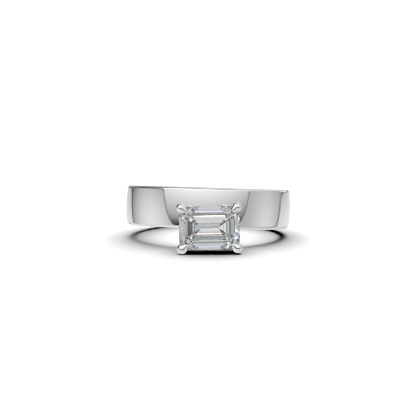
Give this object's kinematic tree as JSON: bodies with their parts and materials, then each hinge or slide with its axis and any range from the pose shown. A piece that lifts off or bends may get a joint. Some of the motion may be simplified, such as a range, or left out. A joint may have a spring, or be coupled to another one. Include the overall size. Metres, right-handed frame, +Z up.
{
  "type": "cigar band ring",
  "caption": "Wide polished white metal finger ring with a rectangular step-cut stone held across the finger in a low claw head, lying on its side.",
  "frame": {"origin": "on the floor under the middle of the ring's box, as it lies on its side", "axes": "-Y is the way the stone faces, +X is to the right seen from the front, +Z is up, close to the finger hole's axis"},
  "size_m": [0.0208, 0.0246, 0.0073],
  "materials": {
    "polished_white_gold": "mirror polished",
    "clear_stone": "faceted and polished"
  },
  "bodies": {
    "root": {"band_and_claw_head": "polished_white_gold", "emerald_cut_stone": "clear_stone"}
  },
  "joints": []
}
